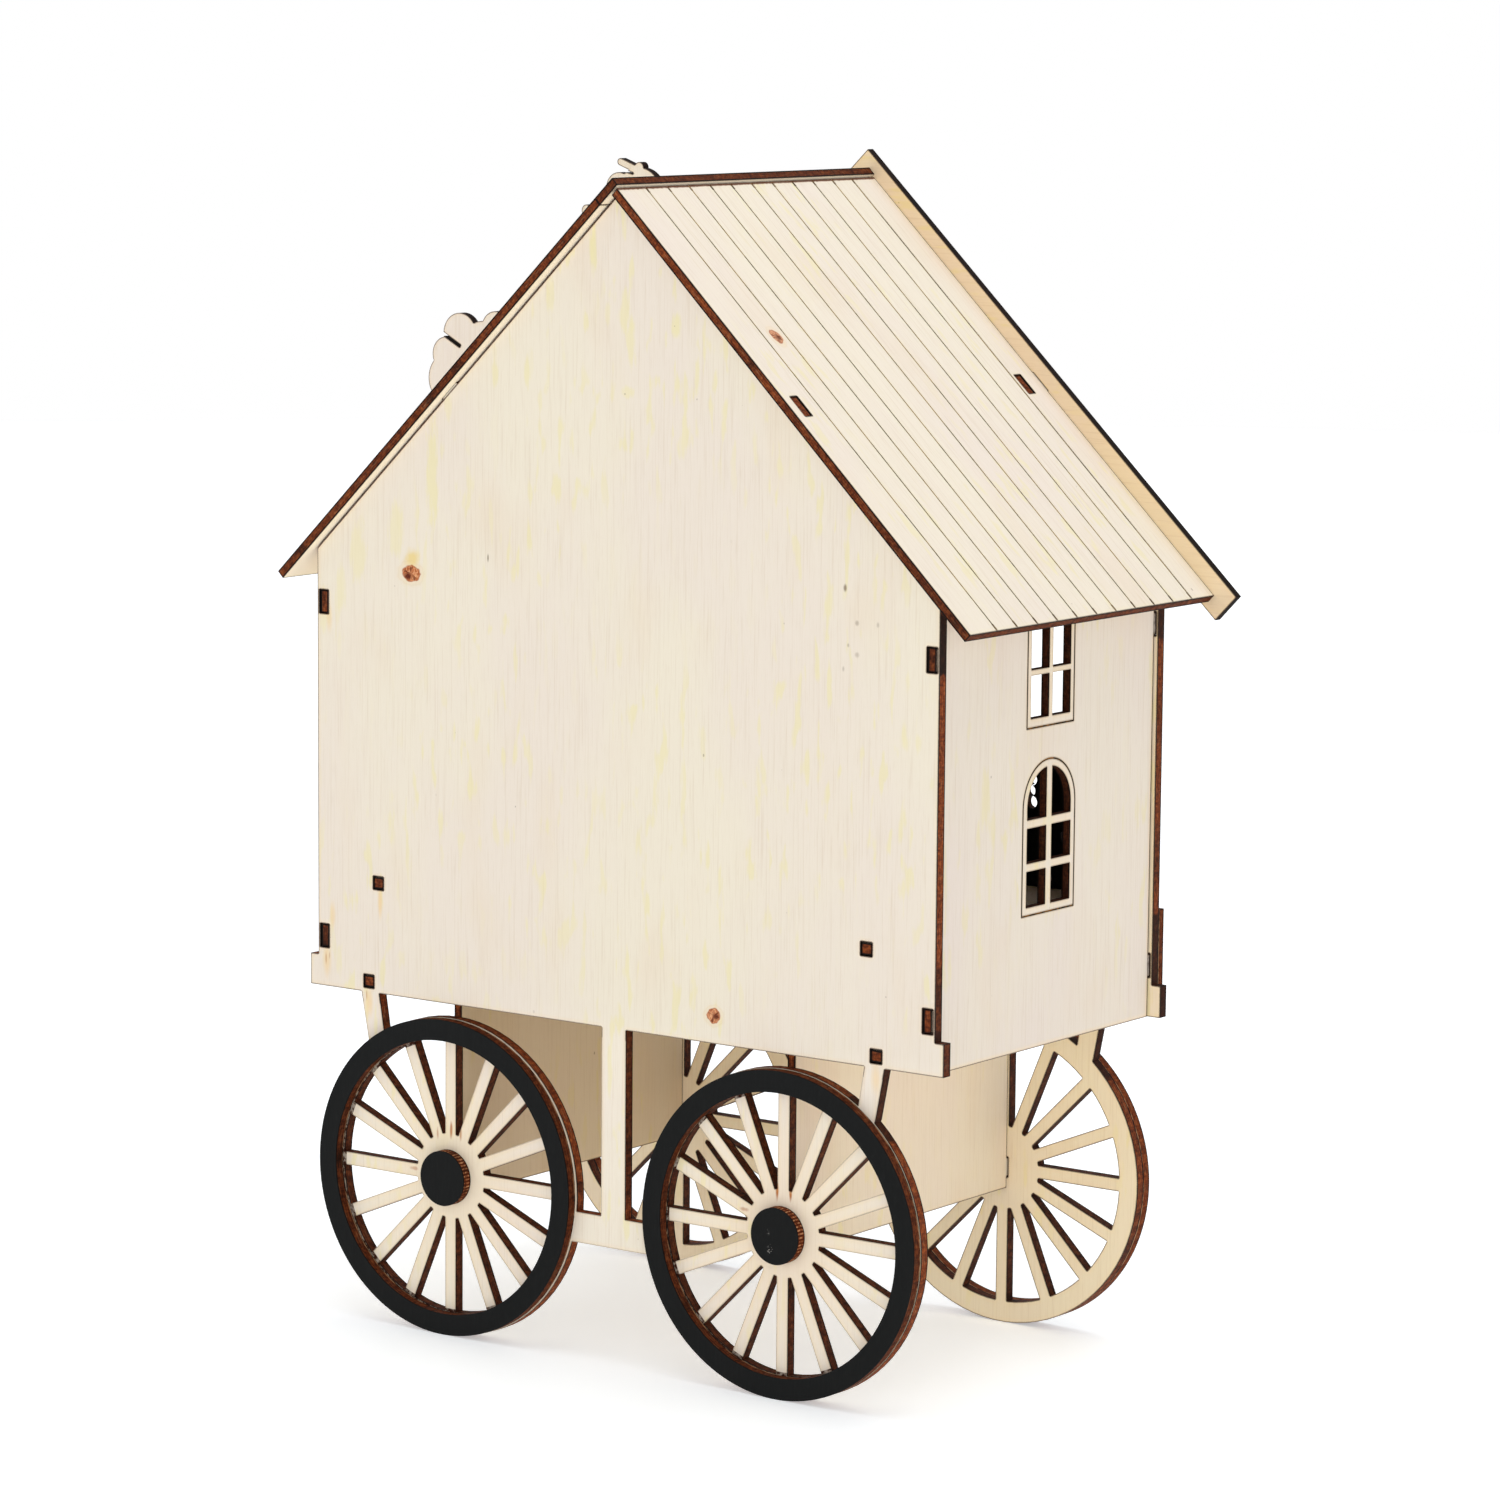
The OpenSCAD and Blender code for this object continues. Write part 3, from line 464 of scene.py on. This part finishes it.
# the tint darkens only the gable above the floor, so the rail and wheels stay lighter: painted light for the light
# thrown up from the table
dress("rear_plate", ply("ply_rear", Y, Z, HD - PT, HD, seed=1.0, soot=0.30, tint=srgb(249, 249, 247),
                        tint_from=(82.0, 94.0), calm=(-1.0, 86.0, -101.0, 101.0, 0.5),
                        knots=[(201.9, 67.8, 2.15, 3.0, 1.0, -0.35, 0.35, 0.85), (95.9, -32.0, 1.8, 2.2, 0.95, -0.05, -0.35, 0.0)],
                        specks=[(208.2, -71.5, 1.1, 0.6, 0.75), (199.7, -75.2, 0.8, 0.7, 0.4), (191.8, -75.3, 0.8, 0.8, 0.3),
                                (199.7, -81.5, 0.8, 0.5, 0.3), (194.0, -72.6, 0.6, 0.4, 0.35), (188.0, -71.2, 0.8, 0.4, 0.3),
                                (207.8, 41.9, 1.2, 0.25, 0.9)],
                        stains=[(113.6, 78.5, 5.0, 1.0, 0.8), (86.0, 82.4, 4.5, 1.6, 0.7), (96.0, 97.0, 5.0, 1.6, 0.7),
                                (108.0, 95.0, 4.0, 1.2, 0.6), (188.0, 96.0, 4.0, 1.2, 0.5), (86.0, -82.4, 4.5, 1.5, 0.6),
                                (WR, WX, 36.0, 36.0, 0.28), (WR, -WX, 36.0, 36.0, 0.28)],
                        blots=[(288.6, 7.9, 7.0, 1.3, 0.75), (273.1, -2.5, 6.0, 1.6, 0.6), (266.1, -4.4, 7.0, 1.3, 0.6),
                               (270.8, -18.6, 3.6, 1.8, 0.75), (270.3, 10.0, 2.6, 1.0, 0.6), (272.9, 3.0, 3.6, 1.0, 0.4),
                               (255.4, 39.7, 4.0, 1.1, 0.6), (256.6, 29.1, 4.4, 1.1, 0.65), (253.2, -3.6, 1.8, 1.9, 0.55),
                               (258.6, -25.3, 5.0, 0.9, 0.6), (276.7, 21.4, 5.0, 1.4, 0.5), (246.3, 55.3, 4.0, 1.2, 0.4),
                               (228.0, 60.6, 15.0, 2.2, 0.7), (213.0, 73.0, 8.0, 3.0, 0.5),
                               (206.0, 86.0, 9.0, 3.0, 0.5), (196.0, 92.0, 7.0, 2.0, 0.45), (190.0, 98.0, 6.0, 1.5, 0.5)],
                        zones=plate_soot_and_shade, lines=roof_lines, rings=ring_step_scorch_and_shade, drips=resin, discs=wheel_soot_and_shade))
dress("front_plate", ply("ply_front", Y, Z, -HD, -HD + PT, seed=2.0, soot=0.45, tint=srgb(255, 249, 232),
                         zones=[z[:4] + (0.8,) for z in plate_soot_and_shade], edge_gain=0.85, discs=wheel_soot_and_shade))
wall_lines = [(0.0, 1.0, -HD + PT + 0.3 + 0.10, 0.16, 0.9), (0.0, 1.0, -50.3, 1.5, 0.85)]
pane_zones = [(122.0, 162.0, -11.0, 11.0, 0.72), (170.0, 200.0, -11.0, 11.0, 0.72)]
dress("left_wall", ply("ply_left_wall", (-1, 0, 0), Z, 96.5, 98.9, seed=3.0, soot=0.5, lines=wall_lines, zones=pane_zones,
                       edge_gain=0.85, tint=srgb(245, 243, 244), halo=0.42, calm=(118.0, 216.0, -14.0, 14.0, 0.5),
                       score=(srgb(38, 25, 14), srgb(180, 118, 52)),
                       blots=[(155.0, 29.0, 8.0, 2.0, 0.6), (147.0, 25.5, 5.0, 1.4, 0.5)]))
dress("right_wall", ply("ply_right_wall", X, Z, 96.5, 98.9, seed=4.0, soot=0.4, zones=pane_zones, edge_gain=0.7))
dress("base_floor", ply("ply_base_floor", Z, X, 90.1, 93.1, seed=5.0, edge_gain=0.75))
dress("room_floor", ply("ply_room_floor", Z, X, 116.9, 119.9, seed=6.0, edge_gain=0.75))
# the axle boards are tinted warm: painted shade and warm bounce light beneath the house
dress("left_axle_board", ply("ply_left_axle", X, Z, -54.3 - 1.2, -54.3 + 1.2, seed=7.0, tint=srgb(255, 248, 236)))
# only the inner face is tinted darker and warmer: painted shade and warm bounce light beneath the house
dress("right_axle_board", ply("ply_right_axle", X, Z, 54.3 - 1.2, 54.3 + 1.2, seed=8.0, tint=srgb(231, 220, 199),
                              tint_side=-1))
for node, side, seed in (("roof_left", -1, 9.0), ("roof_right", 1, 10.0), ("ridge_strip", 1, 11.0)):
    n = (side * sn, 0, cs)
    down = (side * cs, 0, -sn)
    base = APEX * cs + 0.1
    start = Vector(down).dot(Vector((0, 0, APEX)))
    knots, lines = (), ()
    if node == "roof_left":
        # a knot 53 mm down the slope and 13.6 mm in from the plain gable
        kb = Vector(n).cross(Vector(down)).dot(Vector((0, HD - 13.6, 0)))
        knots = [(start + 53.0, kb, 2.3, 1.8, 0.85, 0.15, 0.35, 0.0)]
        # a dark line where the ridge strip meets this sheet's top edge: painted shade of the crevice between them
        lines = [(1.0, 0.0, start + 0.6, 0.62, 0.92)]
    lower = [(start + 74.0, start + 160.0, -60.0, 60.0, 0.22), (start + 112.0, start + 160.0, -60.0, 60.0, 0.38)]
    dress(node, ply("ply_" + node, n, down, base, base + ST, seed=seed, soot=0.25, knots=knots, streaks=0.8, lines=lines,
                    groove=(-47.5, 47.5) if node != "ridge_strip" else None, zones=lower if node == "roof_left" else (),
                    # roof_right and ridge_strip get painted light on their -n faces, the undersides the lamps leave in
                    # shade
                    score=(SCORE_DARK, SCORE), underside_light=0.0 if node == "roof_left" else 0.8,
                    calm=(start + 2.5, start + 149.5, -47.5, 47.5, 0.93) if node != "ridge_strip" else None,
                    # the brown tone given here for lines is the painted crevice shade at the ridge
                    margin=STREAK, line_tone=srgb(98, 46, 20),
                    edge_gain={"roof_left": 0.9, "roof_right": 0.74, "ridge_strip": 0.56}[node]))
dress("barge_board", ply("ply_barge", Y, X, -60.4, -58.0, seed=12.0, black=(-1,), edge_black=0.96,
                         tint=srgb(255, 241, 216)))
dress("base_trim", ply("ply_base_trim", Y, X, -54.2, -51.8, seed=13.0, black=(-1,), pale_side=1, edge_gain=0.62))
for k in ("rim_rear_left", "rim_rear_right", "hub_cap_rear_left", "hub_cap_rear_right"):
    cap = k.startswith("hub")
    scuffs = [(WR - 3.9, -WX + 1.9, 1.5, 1.1, 0.9), (WR + 0.6, -WX + 2.4, 0.9, 0.6, 0.3)] if k == "hub_cap_rear_left" else []
    dress(k, ply("ply_" + k, Y, Z, HD, HD + PT, seed=14.0 + len(k), black=(1,), pale_side=0 if cap else -1, soot=0.2,
                 edge_gain=1.15 if cap else 0.50, scuffs=scuffs,
                 teeth=(WR - 0.3, (-WX if k.endswith("left") else WX) + 0.5, 48.0, 0.85) if cap else None))
for k in ("rim_front_left", "rim_front_right", "hub_cap_front_left", "hub_cap_front_right"):
    dress(k, ply("ply_" + k, Y, Z, -HD - PT, -HD, seed=15.0 + len(k), black=(-1,), pale_side=1, soot=0.2, edge_gain=0.8))
for k in ("window_frame_left", "window_frame_right", "gable_window_frame", "door_frame"):
    dress(k, ply("ply_" + k, Y, Z, -54.2, -51.8, seed=20.0 + len(k), black=(-1,), pale_side=1))
dress("front_door", ply("ply_front_door", Y, Z, -54.2, -51.8, seed=26.0))
for k in ("scene_screen_left", "scene_screen_right"):
    dress(k, ply("ply_" + k, Y, Z, -48.8, -46.4, seed=27.0, black=(-1, 1), edge_black=0.6))
dress("yard_tree", ply("ply_tree", Y, Z, -62.8, -60.4, seed=28.0, black=(-1,), edge_black=0.95))
dress("tree_spacer", ply("ply_spacer", Y, Z, -60.4, -54.2, seed=29.0))

# ----------------------------------------------------------------------------
# Floor and light
# ----------------------------------------------------------------------------
bpy.ops.mesh.primitive_circle_add(vertices=128, radius=3.0, fill_type="NGON", location=(0, 0, 0))
floor = bpy.context.object
floor.name = "floor"
fm = bpy.data.materials.new("floor_white")
g = Graph(fm)
tc = g.nt.nodes.new("ShaderNodeTexCoord")
fn = g.noise(tc.outputs["Object"], 3.0, 3.0, 0.5)
bs = g.nt.nodes.new("ShaderNodeBsdfPrincipled")
g.put(bs.inputs["Base Color"], g.mix(g.ramp(fn, 0.3, 0.7), (0.845, 0.875, 0.90, 1), (0.865, 0.895, 0.92, 1)))
# a backlit white table: it washes the shadows out, and more so away from the object
far = g.dot(tc.outputs["Object"], (1.0, 0.0, 0.0))
fary = g.dot(tc.outputs["Object"], (0.0, 1.0, 0.0))
dist = g.math("SQRT", g.add(g.mul(far, far), g.mul(fary, fary)))
bs.inputs["Emission Color"].default_value = (0.985, 0.995, 1.0, 1.0)
g.put(bs.inputs["Emission Strength"], g.ramp(dist, 0.10, 0.50, 0.39, 0.445))
bs.inputs["Roughness"].default_value = 0.55
bs.inputs["Specular IOR Level"].default_value = 0.3
g.nt.links.new(bs.outputs[0], g.out.inputs[0])
floor.data.materials.append(fm)

world = bpy.data.worlds.new("studio")
scene.world = world
world.use_nodes = True
wn = world.node_tree
wn.nodes.clear()
# white walls all round, a softer grey ceiling above them
wtc = wn.nodes.new("ShaderNodeTexCoord")
wsep = wn.nodes.new("ShaderNodeSeparateXYZ")
wmap = wn.nodes.new("ShaderNodeMapRange")
wmap.interpolation_type = "SMOOTHSTEP"
for socket, value in (("From Min", 0.12), ("From Max", 0.55), ("To Min", 1.0), ("To Max", 0.42)):
    wmap.inputs[socket].default_value = value
bg = wn.nodes.new("ShaderNodeBackground")
bg.inputs["Color"].default_value = (1.0, 1.0, 1.0, 1.0)
wo = wn.nodes.new("ShaderNodeOutputWorld")
wn.links.new(wtc.outputs["Generated"], wsep.inputs[0])
wn.links.new(wsep.outputs["Z"], wmap.inputs["Value"])
wn.links.new(wmap.outputs["Result"], bg.inputs["Strength"])
wn.links.new(bg.outputs[0], wo.inputs[0])


def area(name, pos, target, size, power, color=(1, 1, 1)):
    light = bpy.data.lights.new(name, "AREA")
    light.shape = "RECTANGLE"
    light.size, light.size_y = size
    light.energy = power
    light.color = color
    o = bpy.data.objects.new(name, light)
    scene.collection.objects.link(o)
    o.location = pos
    o.rotation_euler = (Vector(target) - Vector(pos)).to_track_quat("-Z", "Y").to_euler()
    return o


area("key", (-1.9, 2.4, 1.7), (0, 0, 0.15), (1.8, 1.6), 10.6, (1.0, 0.985, 0.965))
area("fill", (-0.5, 3.0, 0.5), (0, 0, 0.12), (1.2, 0.8), 4.6)
area("top", (-0.25, -0.2, 3.0), (0, 0, 0.1), (2.6, 2.6), 45.0)
area("front", (0.6, -3.0, 1.5), (0, 0, 0.15), (1.8, 1.4), 8.0)

scene.view_settings.view_transform = "Standard"
scene.view_settings.look = "None"
scene.view_settings.exposure = 0.0
scene.view_settings.gamma = 1.0
